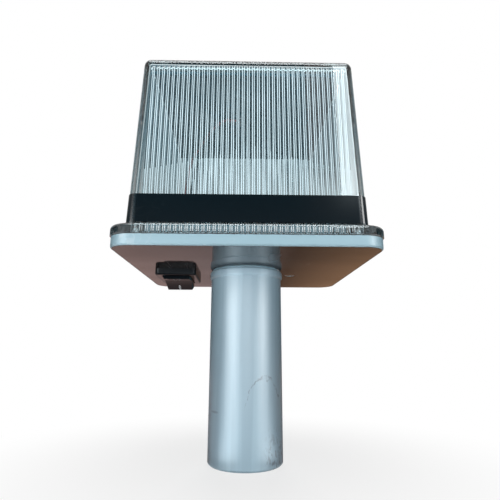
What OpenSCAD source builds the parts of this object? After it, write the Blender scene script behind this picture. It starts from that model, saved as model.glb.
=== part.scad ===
// Solar-charged lamp head on a short length of pipe, for the top of a post.
// Origin at the middle of the pipe's lower end, Z up, front of the lamp towards -Y.

/* [Tray] */
// Outside width and depth of the square tray
base_w = 84; // [82:0.5:88]
// Radius of the tray's upright corners
base_corner_r = 7; // [5:0.5:10]
// Height of the rim above the tray's underside
rim_h = 3.5; // [3.2:0.1:4]
// Thickness of the rim's wall
rim_t = 2; // [1.6:0.1:2.4]
// Thickness of the tray's floor
floor_t = 2; // [1.8:0.1:2.2]
// Rounding of the tray's lower edge
tray_edge_r = 0.8; // [0.4:0.1:1.4]

/* [Cover] */
// Width of the cover's wall where it leaves the flange
cover_foot_w = 75.4; // [75:0.1:77]
// Draft of the cover's four walls, in degrees
cover_draft = 1.6; // [1:0.01:1.8]
// Height of the roof above the tray's underside
roof_z = 68.2; // [66:0.1:76]
// Thickness of the walls and the roof
cover_t = 2; // [1.6:0.1:2.2]
// Radius of the cover's upright corners
cover_corner_r = 2.6; // [2.5:0.1:3.4]
// Rounding of the roof's outer edge
roof_edge_r = 2.6; // [2.5:0.1:3.4]
// Thickness of the foot flange
flange_h = 3; // [2.4:0.1:3.6]
// How far the flange stands out past the tray
flange_over = 0.3; // [0:0.1:0.6]
// Distance from one light-spreading rib to the next
rib_pitch = 1.72; // [1.5:0.01:2.4]
// How far a rib stands in from the wall
rib_h = 0.9; // [0.5:0.1:1]
// How much shorter the ribs are beside the corners than in the middle of a wall
rib_bow = 0.8; // [0:0.1:2]

/* [Band and seal] */
// Height of the band's lower edge above the tray's underside
band_z = 8.4; // [8:0.1:9]
// Height of the band
band_h = 9.2; // [6:0.1:14]
// Thickness of the band
band_t = 0.25; // [0.15:0.05:0.4]
// Thickness of the seal between the flange and the rim
seal_t = 0.4; // [0.3:0.1:0.6]

/* [Pipe] */
// Outside diameter of the pipe
pipe_od = 26.7; // [26:0.1:28]
// Inside diameter of the pipe
pipe_id = 21; // [20.5:0.1:21.4]
// Length of the pipe
pipe_len = 68; // [60:1:120]
// Height of the swollen upper end
bead_h = 2.4; // [2.2:0.1:4]
// How far the upper end swells out
bead_out = 0.5; // [0.2:0.1:0.6]
// Depth of the reamed socket for the tray's spigot
socket_depth = 18; // [14:0.5:24]
// Height of the collar between the pipe and the tray
collar_h = 0.4; // [0.4:0.1:3]

/* [Switch] */
// Place of the switch on the tray, left to right
switch_x = -26.6; // [-27:0.1:-25]
// Place of the switch on the tray, front to back
switch_y = 4; // [2:0.1:5]
// Width of the switch's bezel
bezel_w = 15.4; // [15:0.1:16]
// Length of the switch's bezel
bezel_len = 21.4; // [21:0.1:22]
// Thickness of the bezel
bezel_t = 2.5; // [2:0.1:2.8]
// Full swing of the rocker, in degrees
rocker_swing = 24; // [16:1:24]
// Slope of each half of the rocker's face, in degrees
rocker_slope = 14; // [10:1:15]

/* [Solar panel] */
// Width and depth of the panel
panel_w = 65; // [60:0.5:65]
// Number of cell strips
strip_count = 12; // [8:1:14]

/* [Inside] */
// Diameter of the rechargeable cell
cell_d = 18.4; // [17:0.1:18.6]
// Length of the rechargeable cell
cell_len = 65; // [60:0.5:65]
// Place of the cell, front to back
cell_y = -23.4; // [-23.5:0.1:-23]
// Height of the light post above the tray's underside
post_top = 26; // [25.5:0.5:32]

/* [Hidden] */
$fn = 64;

// Heights above the tray's underside
head_z = pipe_len + collar_h;
flange_z = rim_h + seal_t;
flange_top = flange_z + flange_h;
skirt_z = floor_t + 0.3;
rib_top_z = roof_z - 2.3;
roof_in_z = roof_z - cover_t;

// Cover
slab_t = 0.02;
edge_steps = 5;
rib_foot_w = rib_pitch * 0.7;
rib_tip_w = rib_pitch * 0.22;
rib_root = 0.3;
foot_chamfer = 1;
band_gap = 0.03;

// Pipe and collar
bore_chamfer = 0.6;
fit_gap = 0.05;
socket_r = pipe_id / 2 + 0.3;
spigot_r = socket_r - fit_gap;
spigot_len = socket_depth - 0.5;
spigot_bore_r = spigot_r - 2.2;
collar_r = pipe_od / 2 - 0.6;
collar_fillet = 0.3;
bead_round = 1;
bead_run = 1;

// Switch, measured from the pivot of the rocker unless a name says otherwise
pivot_z = 1;
pin_r = 1;
pin_gap = 0.05;
pin_reach = 6.4;
bezel_corner_r = 1.6;
bezel_ease = 0.7;
body_w = 13;
body_len = 19;
body_top = 12;
body_roof = 1.4;
well_w = 11;
rocker_end_r = 8.4;
rocker_gap = 0.2;
rocker_w = 10.6;
rocker_tip_w = 9.4;
rocker_wall = 1.3;
rocker_valley = 4.4;
rocker_top = 1.4;
stem_r = 2.2;
stem_bore_r = 1.3;
stem_bore_foot = -1;
stem_top = 5;
spring_r = 0.95;
spring_wire_r = 0.16;
spring_turns = 6;
spring_top = 2.7;
plunger_r = 1.2;
plunger_foot = 2.95;
plunger_top = 7.8;
blade_z = 8.4;
blade_half = 6;
blade_half_t = 0.3;
blade_knee_r = 0.36;
blade_bend = 12;
blade_swing = 14;
blade_w = 3.2;
terminal_w = 4.8;
terminal_t = 0.8;
terminal_top = 18;
contact_y = 5.4;
contact_z = 8.3;

// Solar panel
pad_t = 0.8;
resin_t = 1;
backing_t = 1.2;
strip_t = 0.3;
strip_len = panel_w - 6;
strip_pitch = (panel_w - 6) / strip_count;
strip_w = strip_pitch - 0.5;
panel_top_z = roof_in_z - pad_t;
backing_top_z = panel_top_z - resin_t;
backing_z = backing_top_z - backing_t;
pad_w = 2.5;
solder_t = 1.3;
solder_w = 2;

// Cell and its cradle
cell_z = floor_t + 1 + cell_d / 2;
cradle_gap = 0.05;
cradle_t = 1.75;
cradle_x = 20;
cradle_w = 4;
tab_t = 0.4;

// Control board, with the screws on two of its corners
screw_at = [[17.8, 7.7], [-5, 29]];
screw_r = 1.25;
screw_gap = 0.1;
screw_head_r = 1.9;
screw_sunk = 0.1;
screw_land = 0.15;
screw_top = 10.2;
spacer_r = 2.6;
board_z = 6;
board_t = 1.6;
board_top = board_z + board_t;
board_from = [-8.6, 4.1];
board_size = [30, 28.5];
nut_h = 2;
connector_len = 5.5;
connector_deep = 4.5;
connector_h = 5.5;
side_connector_y = [8, 15, 22];
front_connector_x = 10.5;

// Light post
post_at = [0, -5];
post_w = 8.6;
foot_w = 12;
foot_h = 2.5;
led_board_w = 8;
led_board_t = 1;
led_board_z = [6, 25];
led_w = 5;
led_t = 1.4;
led_at_z = [14.5, 21.5];

// Leads
lead_r = 0.6;
lead_sides = 8;
lead_steps = 3;
lead_z = board_top + 2.9;
panel_lead_z = backing_z - lead_r - 0.1;

function wall_half(z) = cover_foot_w / 2 - (z - flange_top) * tan(cover_draft);
function flat_half(z) = wall_half(z) - cover_corner_r;
function unit(v) = v / norm(v);

module rounded_rect(w, d, r) {
    square([w, d - 2 * r], center = true);
    square([w - 2 * r, d], center = true);
    for (x = [-1, 1], y = [-1, 1])
        translate([x * (w / 2 - r), y * (d / 2 - r)])
            circle(r);
}

// A square with round corners, half is half its width
module rounded_square(half, r) {
    rounded_rect(2 * half, 2 * half, r);
}

// One thin slice of a lofted shell
module slice(half, r, z) {
    translate([0, 0, z])
        linear_extrude(slab_t)
            rounded_square(half, r, $fn = 32);
}

module in_head() {
    translate([0, 0, head_z])
        children();
}

module in_switch() {
    translate([switch_x, switch_y, head_z + pivot_z])
        children();
}

// Extrudes an outline drawn in Y and Z to both sides of X = 0
module across(width) {
    rotate([90, 0, 90])
        linear_extrude(width, center = true)
            children();
}

// Drafted square block with a rounded top edge, drawn in by inset
module drafted_block(inset, z0, z1, edge_r) {
    hull() {
        slice(wall_half(z0) - inset, cover_corner_r - inset, z0);
        for (i = [0 : edge_steps])
            let (a = 90 * i / edge_steps, z = z1 - edge_r + edge_r * sin(a), pull = edge_r * (1 - cos(a)))
                slice(wall_half(z) - inset - pull, max(cover_corner_r - inset - pull, 0.4), z - slab_t);
    }
}

// A rib is clipped where the wall's flat stretch narrows under it
function rib_end_z(x) = min(
    rib_top_z - rib_bow * pow(x / flat_half(rib_top_z), 2),
    skirt_z + (flat_half(skirt_z) - abs(x) - rib_foot_w / 2) / tan(cover_draft)
);

module wall_ribs() {
    last = floor((flat_half(skirt_z) - rib_foot_w) / rib_pitch);
    for (i = [-last : last])
        let (x = i * rib_pitch)
            translate([x, cover_t - wall_half(skirt_z), skirt_z])
                rotate([-cover_draft, 0, 0])
                    linear_extrude((rib_end_z(x) - skirt_z) / cos(cover_draft))
                        polygon([
                            [-rib_foot_w / 2, -rib_root],
                            [rib_foot_w / 2, -rib_root],
                            [rib_foot_w / 2, 0],
                            [rib_tip_w / 2, rib_h],
                            [-rib_tip_w / 2, rib_h],
                            [-rib_foot_w / 2, 0]
                        ]);
}

module cover_flange() {
    half = base_w / 2 + flange_over;
    round_r = 1.2;
    hull() {
        slice(half, base_corner_r, flange_z);
        for (i = [0 : edge_steps])
            let (a = 90 * i / edge_steps)
                slice(
                    half - round_r * (1 - cos(a)),
                    base_corner_r - round_r * (1 - cos(a)),
                    flange_top - round_r * (1 - sin(a)) - slab_t
                );
    }
    hull() {
        slice(wall_half(flange_top) + foot_chamfer, cover_corner_r + foot_chamfer, flange_top - slab_t);
        slice(wall_half(flange_top + foot_chamfer), cover_corner_r, flange_top + foot_chamfer);
    }
}

module clear_cover() {
    color([0.82, 0.9, 0.93, 0.35])
        in_head()
            difference() {
                union() {
                    drafted_block(0, skirt_z, roof_z, roof_edge_r);
                    cover_flange();
                }
                difference() {
                    drafted_block(cover_t, skirt_z - 1, roof_in_z, roof_edge_r - cover_t);
                    for (side = [0 : 3])
                        rotate(90 * side)
                            wall_ribs();
                }
            }
}

module band_block(out) {
    hull()
        for (z = [band_z, band_z + band_h])
            slice(wall_half(z) + out, cover_corner_r + out, z);
}

module label_band() {
    color([0.03, 0.03, 0.035])
        in_head()
            difference() {
                band_block(band_gap + band_t);
                hull()
                    for (z = [band_z - 1, band_z + band_h + 1])
                        slice(wall_half(z) + band_gap, cover_corner_r + band_gap, z);
            }
}

module cover_seal() {
    half = base_w / 2 - 0.4;
    seal_w = rim_t - 0.4;
    color([0.2, 0.21, 0.22])
        in_head()
            translate([0, 0, rim_h])
                linear_extrude(seal_t)
                    difference() {
                        rounded_square(half, base_corner_r - 0.4);
                        rounded_square(half - seal_w, base_corner_r - 0.4 - seal_w);
                    }
}

// Collar and spigot under the tray: the pipe pushes on up to the collar's shoulder
module collar() {
    rotate_extrude()
        polygon([
            [spigot_bore_r, floor_t / 2],
            [spigot_bore_r, -collar_h - spigot_len],
            [spigot_r - 0.8, -collar_h - spigot_len],
            [spigot_r, -collar_h - spigot_len + 0.8],
            [spigot_r, -collar_h],
            [collar_r, -collar_h],
            [collar_r, -collar_fillet],
            [collar_r + collar_fillet, 0],
            [collar_r + collar_fillet, floor_t / 2]
        ]);
}

// Two open clips that the cell snaps into from above
module cell_cradle() {
    for (x = [-cradle_x, cradle_x])
        translate([x, cell_y, cell_z])
            across(cradle_w)
                difference() {
                    intersection() {
                        circle(cell_d / 2 + cradle_t);
                        translate([-cell_d, -cell_d])
                            square([2 * cell_d, cell_d + 4.5]);
                    }
                    circle(cell_d / 2 + cradle_gap);
                }
}

// Raised square on the floor that the light post's foot drops into
module post_socket() {
    translate([post_at.x, post_at.y, floor_t - 0.5])
        linear_extrude(2)
            difference() {
                square(foot_w + 2, center = true);
                square(foot_w + 0.1, center = true);
            }
}

module base_tray() {
    half = base_w / 2;
    color([0.66, 0.72, 0.75])
        in_head()
            difference() {
                union() {
                    difference() {
                        hull() {
                            slice(half, base_corner_r, rim_h - slab_t);
                            for (i = [0 : edge_steps])
                                let (a = 90 * i / edge_steps, pull = tray_edge_r * (1 - sin(a)))
                                    slice(half - pull, base_corner_r - pull, tray_edge_r * (1 - cos(a)));
                        }
                        translate([0, 0, floor_t])
                            linear_extrude(rim_h)
                                rounded_square(half - rim_t, base_corner_r - rim_t);
                    }
                    collar();
                    cell_cradle();
                    post_socket();
                }
                translate([switch_x, switch_y, 0])
                    cube([body_w + 0.2, body_len + 0.2, 4 * floor_t], center = true);
                for (p = screw_at)
                    translate([p.x, p.y, 0])
                        rotate_extrude()
                            sunk_outline(fit_gap, screw_gap, -1, floor_t + 1);
            }
}

// Half outline of a countersunk head and its shank, grown by the gaps
module sunk_outline(head_gap, shank_gap, foot, top) {
    neck = screw_sunk + screw_land;
    run = screw_head_r + head_gap - screw_r - shank_gap;
    polygon([
        [0, foot],
        [screw_head_r + head_gap, foot],
        [screw_head_r + head_gap, neck],
        [screw_r + shank_gap, neck + run],
        [screw_r + shank_gap, top],
        [0, top]
    ]);
}

module mount_pipe() {
    pipe_r = pipe_od / 2;
    bore_r = pipe_id / 2;
    swell = [
        for (i = [0 : edge_steps])
            let (a = 180 * i / edge_steps)
                [pipe_r + bead_out * (1 - cos(a)) / 2, pipe_len - bead_h + bead_run * (i / edge_steps - 1)]
    ];
    lip = [
        for (i = [0 : edge_steps])
            let (a = 90 * i / edge_steps)
                [pipe_r + bead_out - bead_round * (1 - cos(a)), pipe_len - bead_round * (1 - sin(a))]
    ];
    color([0.66, 0.72, 0.76])
        rotate_extrude()
            polygon(concat(
                [
                    [bore_r + bore_chamfer, 0],
                    [pipe_r - bore_chamfer, 0],
                    [pipe_r, bore_chamfer]
                ],
                swell,
                lip,
                [
                    [socket_r, pipe_len],
                    [socket_r, pipe_len - socket_depth],
                    [bore_r, pipe_len - socket_depth],
                    [bore_r, bore_chamfer]
                ]
            ));
}

module panel_backing() {
    color([0.06, 0.09, 0.08])
        in_head() {
            translate([0, 0, backing_z + backing_t / 2])
                cube([panel_w, panel_w, backing_t], center = true);
            for (y = [-4, -1.5])
                translate([-4 + solder_w / 2, y, backing_z - solder_t / 2 + 0.05])
                    cube([solder_w, solder_w, solder_t + 0.1], center = true);
        }
}

module cell_strips(grow) {
    for (i = [0 : strip_count - 1])
        translate([0, (i - (strip_count - 1) / 2) * strip_pitch, backing_top_z + strip_t / 2])
            cube([strip_len + grow, strip_w + grow, strip_t + grow], center = true);
}

module solar_cells() {
    color([0.05, 0.07, 0.2])
        in_head()
            cell_strips(0);
}

module panel_resin() {
    color([0.3, 0.34, 0.45, 0.5])
        in_head()
            difference() {
                translate([0, 0, backing_top_z + resin_t / 2])
                    cube([panel_w, panel_w, resin_t], center = true);
                cell_strips(0.02);
            }
}

// Foam tape round the edge of the panel's top
module panel_pads() {
    color([0.9, 0.9, 0.88])
        in_head()
            translate([0, 0, panel_top_z])
                linear_extrude(pad_t)
                    difference() {
                        square(panel_w - 1, center = true);
                        square(panel_w - 1 - 2 * pad_w, center = true);
                    }
}

// Can with eased ends, a crimp near the positive end and a raised cap inside the crimped lip
module battery_cell() {
    r = cell_d / 2;
    lip_r = r - 3;
    cap_r = 3.2;
    color([0.6, 0.66, 0.68])
        in_head()
            translate([-cell_len / 2, cell_y, cell_z])
                rotate([0, 90, 0])
                    rotate_extrude()
                        polygon([
                            [0, 0],
                            [r - 0.6, 0],
                            [r, 0.6],
                            [r, cell_len - 5.4],
                            [r - 0.5, cell_len - 4.9],
                            [r - 0.5, cell_len - 4.2],
                            [r, cell_len - 3.7],
                            [r, cell_len - 1.6],
                            [r - 0.6, cell_len - 1],
                            [lip_r, cell_len - 1],
                            [lip_r, cell_len - 1.6],
                            [cap_r + 0.4, cell_len - 1.6],
                            [cap_r, cell_len],
                            [0, cell_len]
                        ]);
}

module cell_tabs() {
    tab_from = cell_y - 3.5;
    tab_to = cell_y + cell_d / 2 + 1.3;
    color([0.75, 0.76, 0.74])
        in_head()
            for (side = [-1, 1])
                translate([side * (cell_len + tab_t) / 2, (tab_from + tab_to) / 2, cell_z])
                    cube([tab_t, tab_to - tab_from, 4], center = true);
}

module control_board() {
    color([0.08, 0.3, 0.16])
        in_head()
            difference() {
                translate([board_from.x, board_from.y, board_z])
                    cube([board_size.x, board_size.y, board_t]);
                for (p = screw_at)
                    translate([p.x, p.y, board_z - 1])
                        cylinder(r = screw_r + screw_gap, h = board_t + 2);
            }
}

module charge_chip() {
    color([0.07, 0.07, 0.08])
        in_head()
            translate([4, 18, board_top]) {
                translate([0, 0, 0.2])
                    cube([5, 4, 1.4]);
                for (i = [0 : 3], side = [0, 1])
                    translate([0.4 + 1.27 * i, side == 0 ? -0.9 : 3.8, 0])
                        cube([0.4, 1.1, 0.5]);
            }
}

module charge_coil() {
    color([0.25, 0.22, 0.2])
        in_head()
            translate([13.5, 16, board_top]) {
                linear_extrude(0.8)
                    rounded_square(3, 1);
                cylinder(r = 2.4, h = 3);
                translate([0, 0, 2.4])
                    linear_extrude(0.8)
                        rounded_square(3, 1);
            }
}

module board_capacitor() {
    color([0.15, 0.17, 0.3])
        in_head()
            translate([15, 26, board_top]) {
                cylinder(r = 3.15, h = 8);
                cylinder(r = 3.5, h = 1);
            }
}

// Shrouded header, seen from its mating side at -Y, with two keyways in its top
module connector() {
    difference() {
        translate([-connector_len / 2, 0, 0])
            cube([connector_len, connector_deep, connector_h]);
        for (x = [-1, 1])
            translate([x * 1.4 - 0.4, 0.8, connector_h - 1.2])
                cube([0.8, connector_deep, 2]);
    }
}

module lead_connectors() {
    color([0.92, 0.9, 0.84])
        in_head() {
            for (y = side_connector_y)
                translate([board_from.x, y, board_top])
                    rotate(-90)
                        connector();
            translate([front_connector_x, board_from.y, board_top])
                connector();
        }
}

module board_spacers() {
    color([0.85, 0.85, 0.82])
        in_head()
            for (p = screw_at)
                translate([p.x, p.y, floor_t])
                    difference() {
                        cylinder(r = spacer_r, h = board_z - floor_t);
                        translate([0, 0, -1])
                            cylinder(r = screw_r + screw_gap, h = board_z);
                    }
}

module board_screws() {
    color([0.78, 0.78, 0.76])
        in_head()
            for (p = screw_at)
                translate([p.x, p.y, 0])
                    difference() {
                        rotate_extrude()
                            sunk_outline(0, 0, screw_sunk, screw_top);
                        for (turn = [45, 135])
                            rotate(turn)
                                cube([2.2, 0.6, 1.4], center = true);
                    }
}

module board_nuts() {
    color([0.8, 0.8, 0.78])
        in_head()
            for (p = screw_at)
                translate([p.x, p.y, board_top])
                    difference() {
                        cylinder(r = 2.9, h = nut_h, $fn = 6);
                        translate([0, 0, -1])
                            cylinder(r = screw_r + fit_gap, h = nut_h + 2);
                    }
}

module led_post() {
    color([0.93, 0.93, 0.92])
        in_head()
            translate([post_at.x, post_at.y, floor_t])
                difference() {
                    union() {
                        translate([-foot_w / 2, -foot_w / 2, 0])
                            cube([foot_w, foot_w, foot_h]);
                        translate([-post_w / 2, -post_w / 2, 0])
                            cube([post_w, post_w, post_top - floor_t]);
                    }
                    translate([0, 0, -1])
                        cylinder(r = 3, h = post_top - floor_t);
                }
}

module around_post() {
    in_head()
        translate([post_at.x, post_at.y, 0])
            for (side = [0 : 3])
                rotate(90 * side)
                    translate([post_w / 2, 0, 0])
                        children();
}

module led_boards() {
    color([0.95, 0.95, 0.94])
        around_post()
            translate([0, -led_board_w / 2, led_board_z[0]])
                cube([led_board_t, led_board_w, led_board_z[1] - led_board_z[0]]);
}

module led_chips() {
    color([0.95, 0.85, 0.35])
        around_post()
            for (z = led_at_z)
                translate([led_board_t, 0, z])
                    difference() {
                        translate([0, -led_w / 2, -led_w / 2])
                            cube([led_t, led_w, led_w]);
                        translate([led_t - 0.3, 0, 0])
                            rotate([0, 90, 0])
                                cylinder(r = 1.9, h = 1);
                    }
}

module bezel_slice(pull, z) {
    translate([0, 0, z])
        linear_extrude(slab_t)
            rounded_rect(bezel_w - 2 * pull, bezel_len - 2 * pull, bezel_corner_r - pull, $fn = 32);
}

module bezel(panel_face) {
    hull() {
        bezel_slice(0, panel_face - slab_t);
        for (i = [0 : edge_steps])
            let (a = 90 * i / edge_steps)
                bezel_slice(bezel_ease * (1 - sin(a)), panel_face - bezel_t + bezel_ease * (1 - cos(a)));
    }
}

// Bezel with eased edges on a box-shaped body, open downwards for the rocker
module switch_housing() {
    panel_face = -pivot_z;
    well_len = 2 * (rocker_end_r + rocker_gap);
    clip_z = panel_face + floor_t + 0.1;
    color([0.05, 0.05, 0.055])
        in_switch()
            difference() {
                union() {
                    bezel(panel_face);
                    translate([0, 0, (panel_face + body_top - pivot_z) / 2])
                        cube([body_w, body_len, body_top], center = true);
                    for (side = [-1, 1])
                        scale([1, side, 1])
                            across(6)
                                polygon([
                                    [body_len / 2 - 0.2, clip_z],
                                    [body_len / 2 + 0.5, clip_z],
                                    [body_len / 2, clip_z + 3],
                                    [body_len / 2 - 0.2, clip_z + 3]
                                ]);
                }
                translate([-well_w / 2, -well_len / 2, panel_face - bezel_t - 1])
                    cube([well_w, well_len, bezel_t + 1 + body_top - body_roof]);
                rotate([0, 90, 0])
                    cylinder(r = pin_r + pin_gap, h = body_w + 2, center = true);
                for (y = [0, contact_y])
                    translate([0, y, body_top - pivot_z])
                        cube([terminal_w + 0.1, terminal_t + 0.1, 4 * body_roof], center = true);
            }
}

// Outline of the rocker at mid swing: two sloping faces between arcs about the pivot
module rocker_outline(wall) {
    drop = rocker_end_r * tan(rocker_slope);
    valley = rocker_valley - wall;
    intersection() {
        circle(rocker_end_r - wall);
        polygon([
            [-rocker_end_r, rocker_top],
            [-rocker_end_r, -valley - drop],
            [0, -valley],
            [rocker_end_r, -valley - drop],
            [rocker_end_r, rocker_top]
        ]);
    }
}

module at_rocker_rest() {
    in_switch()
        rotate([-rocker_swing / 2, 0, 0])
            children();
}

module switch_rocker() {
    color([0.04, 0.04, 0.045])
        at_rocker_rest() {
            difference() {
                intersection() {
                    across(rocker_w)
                        rocker_outline(0);
                    rotate([90, 0, 0])
                        linear_extrude(4 * rocker_end_r, center = true)
                            polygon([
                                [-rocker_w / 2, 2],
                                [-rocker_w / 2, -rocker_valley],
                                [-rocker_tip_w / 2, -rocker_valley - 1.8],
                                [-rocker_tip_w / 2, -10],
                                [rocker_tip_w / 2, -10],
                                [rocker_tip_w / 2, -rocker_valley - 1.8],
                                [rocker_w / 2, -rocker_valley],
                                [rocker_w / 2, 2]
                            ]);
                }
                difference() {
                    translate([0, 0, 0.01])
                        across(rocker_w - 2 * rocker_wall)
                            rocker_outline(rocker_wall);
                    translate([0, 0, -rocker_end_r])
                        cylinder(r = stem_r, h = 2 * rocker_end_r);
                }
                translate([0, 0, stem_bore_foot])
                    cylinder(r = stem_bore_r, h = rocker_end_r);
            }
            difference() {
                translate([0, 0, rocker_top - 0.5])
                    cylinder(r = stem_r, h = stem_top - rocker_top + 0.5);
                translate([0, 0, stem_bore_foot])
                    cylinder(r = stem_bore_r, h = stem_top + 2);
            }
            for (side = [-1, 1])
                translate([side * (rocker_w / 2 - 0.6), 0, 0])
                    rotate([0, side * 90, 0])
                        cylinder(r = pin_r, h = pin_reach - rocker_w / 2 + 0.6);
        }
}

module switch_spring() {
    turn_rings = 8;
    count = spring_turns * turn_rings;
    from = stem_bore_foot + spring_wire_r + 0.05;
    route = [
        for (i = [0 : count])
            [
                spring_r * cos(360 * i / turn_rings),
                spring_r * sin(360 * i / turn_rings),
                from + (spring_top - from) * i / count
            ]
    ];
    color([0.8, 0.8, 0.8])
        at_rocker_rest()
            tube(route, spring_wire_r, 6, route[1] - route[0], route[count] - route[count - 1]);
}

module switch_plunger() {
    color([0.72, 0.6, 0.3])
        at_rocker_rest() {
            translate([0, 0, plunger_foot])
                cylinder(r = plunger_r, h = plunger_top - plunger_r - plunger_foot);
            translate([0, 0, plunger_top - plunger_r])
                sphere(plunger_r);
        }
}

// Bent blade with a rolled knee, which tips under the middle terminal as the plunger crosses it
module switch_blade() {
    dip = blade_half * tan(blade_bend);
    color([0.78, 0.55, 0.25])
        in_switch()
            translate([0, 0, blade_z])
                rotate([blade_swing / 2, 0, 0])
                    across(blade_w) {
                        circle(blade_knee_r);
                        polygon([
                            [0, blade_half_t],
                            [-blade_half, blade_half_t - dip],
                            [-blade_half, -blade_half_t - dip],
                            [0, -blade_half_t],
                            [blade_half, -blade_half_t - dip],
                            [blade_half, blade_half_t - dip]
                        ]);
                    }
}

module switch_terminals() {
    foot_z = [blade_z + blade_knee_r + 0.04, contact_z];
    color([0.82, 0.7, 0.4])
        in_switch()
            for (i = [0, 1])
                translate([-terminal_w / 2, i * contact_y - terminal_t / 2, foot_z[i]])
                    cube([terminal_w, terminal_t, terminal_top - foot_z[i]]);
}

// Rings are carried along the route without twisting, with the two end rings square to their ends
function carried(n, t) = unit(n - (n * t) * t);
function side_of(t) = unit(abs(t.z) < 0.9 ? cross(t, [0, 0, 1]) : cross(t, [1, 0, 0]));

module tube(route, r, sides, start, end) {
    last = len(route) - 1;
    tangents = [
        for (i = [0 : last])
            i == 0 ? unit(start) : i == last ? unit(end) : unit(route[i + 1] - route[i - 1])
    ];
    normals = [
        for (i = 0, n = side_of(tangents[0]); i <= last; i = i + 1, n = carried(n, tangents[min(i, last)]))
            n
    ];
    points = [
        for (i = [0 : last], k = [0 : sides - 1])
            let (a = 360 * k / sides, n = normals[i], b = cross(tangents[i], n))
                route[i] + r * (cos(a) * n + sin(a) * b)
    ];
    skin = [
        for (i = [0 : last - 1], k = [0 : sides - 1], half = [0, 1])
            let (a = i * sides + k, b = i * sides + (k + 1) % sides)
                half == 0 ? [a, a + sides, b] : [b, a + sides, b + sides]
    ];
    foot = [for (k = [0 : sides - 1]) k];
    head = [for (k = [sides - 1 : -1 : 0]) last * sides + k];
    polyhedron(points, concat(skin, [foot, head]));
}

function between(a, b, c, d, t) =
    0.5 * (2 * b + (c - a) * t + (2 * a - 5 * b + 4 * c - d) * t * t + (3 * b - a - 3 * c + d) * t * t * t);

function smooth(p) = concat(
    [
        for (i = [0 : len(p) - 2], s = [0 : lead_steps - 1])
            between(p[max(i - 1, 0)], p[i], p[i + 1], p[min(i + 2, len(p) - 1)], s / lead_steps)
    ],
    [p[len(p) - 1]]
);

module lead(p) {
    last = len(p) - 1;
    in_head()
        tube(smooth(p), lead_r, lead_sides, p[1] - p[0], p[last] - p[last - 1]);
}

// Routes of the leads, above the middle of the tray's underside
panel_red_route = [
    [-8.6, 21, lead_z], [-12, 21, lead_z], [-19, 24, 12], [-26, 28, 18], [-29, 30.5, 30], [-29, 30.5, 46],
    [-27, 28, panel_lead_z - 6], [-25, 24.6, panel_lead_z - 2.4], [-22, 20, panel_lead_z - 0.5],
    [-18.3, 11.7, panel_lead_z], [-14, 2, panel_lead_z],
    [-9, -4, panel_lead_z], [-6, -4, panel_lead_z], [-4, -4, panel_lead_z]
];
panel_black_route = [
    [-8.6, 23, lead_z], [-12, 23, lead_z], [-18, 26.5, 12.5], [-24, 30.5, 19], [-26.5, 32, 30], [-26.5, 32, 46],
    [-24.5, 30, panel_lead_z - 6], [-22.5, 26.3, panel_lead_z - 2.4], [-19.5, 21.5, panel_lead_z - 0.5],
    [-15.7, 13.4, panel_lead_z],
    [-11.5, 4.5, panel_lead_z], [-8.5, -1.5, panel_lead_z],
    [-6, -1.5, panel_lead_z], [-4, -1.5, panel_lead_z]
];
tab_lead_x = (cell_len + tab_t) / 2;
tab_lead_y = cell_y + cell_d / 2 + 1.3;
cell_red_route = [
    [tab_lead_x, tab_lead_y, cell_z], [tab_lead_x, -10, cell_z], [29, -3, 12], [20, -1, 11.5],
    [13, -2, lead_z], [11.5, 1.5, lead_z], [11.5, board_from.y, lead_z]
];
cell_black_route = [
    [-tab_lead_x, tab_lead_y, cell_z], [-tab_lead_x, -11, cell_z], [-29, -9, 11], [-20, -10.5, 9], [-8, -13, 8],
    [4, -13, 8], [9, -9, 8.5], [9.5, -2, 10], [9.5, 1, lead_z], [9.5, board_from.y, lead_z]
];
terminal_z = pivot_z + terminal_top;
switch_feed_route = [
    [switch_x, switch_y, terminal_z], [switch_x, switch_y, 21], [-24, 6, 23.5], [-17, 11, 19],
    [-13, 14, 12], [-11, 14, lead_z], [-8.6, 14, lead_z]
];
switch_return_route = [
    [switch_x, switch_y + contact_y, terminal_z], [switch_x, switch_y + contact_y, 21], [-24.5, 11, 24],
    [-18, 15, 20], [-14, 16, 12.5], [-11, 16, lead_z], [-8.6, 16, lead_z]
];
led_lead_x = post_at.x - post_w / 2 - led_board_t;
led_red_route = [
    [-8.6, 7, lead_z], [-11, 7, lead_z], [-14, 3, 10], [-12, -3, 9.5], [-8, -4, 9], [led_lead_x, -4, 9]
];
led_black_route = [
    [-8.6, 9, lead_z], [-11.5, 9, lead_z], [-16, 3, 11], [-13.5, -5, 10], [-8, -6, 9], [led_lead_x, -6, 9]
];

module panel_lead_red() { color([0.7, 0.08, 0.06]) lead(panel_red_route); }
module panel_lead_black() { color([0.05, 0.05, 0.05]) lead(panel_black_route); }
module cell_lead_red() { color([0.7, 0.08, 0.06]) lead(cell_red_route); }
module cell_lead_black() { color([0.05, 0.05, 0.05]) lead(cell_black_route); }
module switch_lead_feed() { color([0.7, 0.08, 0.06]) lead(switch_feed_route); }
module switch_lead_return() { color([0.85, 0.75, 0.1]) lead(switch_return_route); }
module led_lead_red() { color([0.7, 0.08, 0.06]) lead(led_red_route); }
module led_lead_black() { color([0.05, 0.05, 0.05]) lead(led_black_route); }

clear_cover();
label_band();
cover_seal();
base_tray();
mount_pipe();
panel_backing();
solar_cells();
panel_resin();
panel_pads();
battery_cell();
cell_tabs();
control_board();
charge_chip();
charge_coil();
board_capacitor();
lead_connectors();
board_spacers();
board_screws();
board_nuts();
led_post();
led_boards();
led_chips();
switch_housing();
switch_rocker();
switch_spring();
switch_plunger();
switch_blade();
switch_terminals();
panel_lead_red();
panel_lead_black();
cell_lead_red();
cell_lead_black();
switch_lead_feed();
switch_lead_return();
led_lead_red();
led_lead_black();
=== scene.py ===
import math

import bmesh
import bpy
from mathutils import Matrix, Vector


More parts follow.
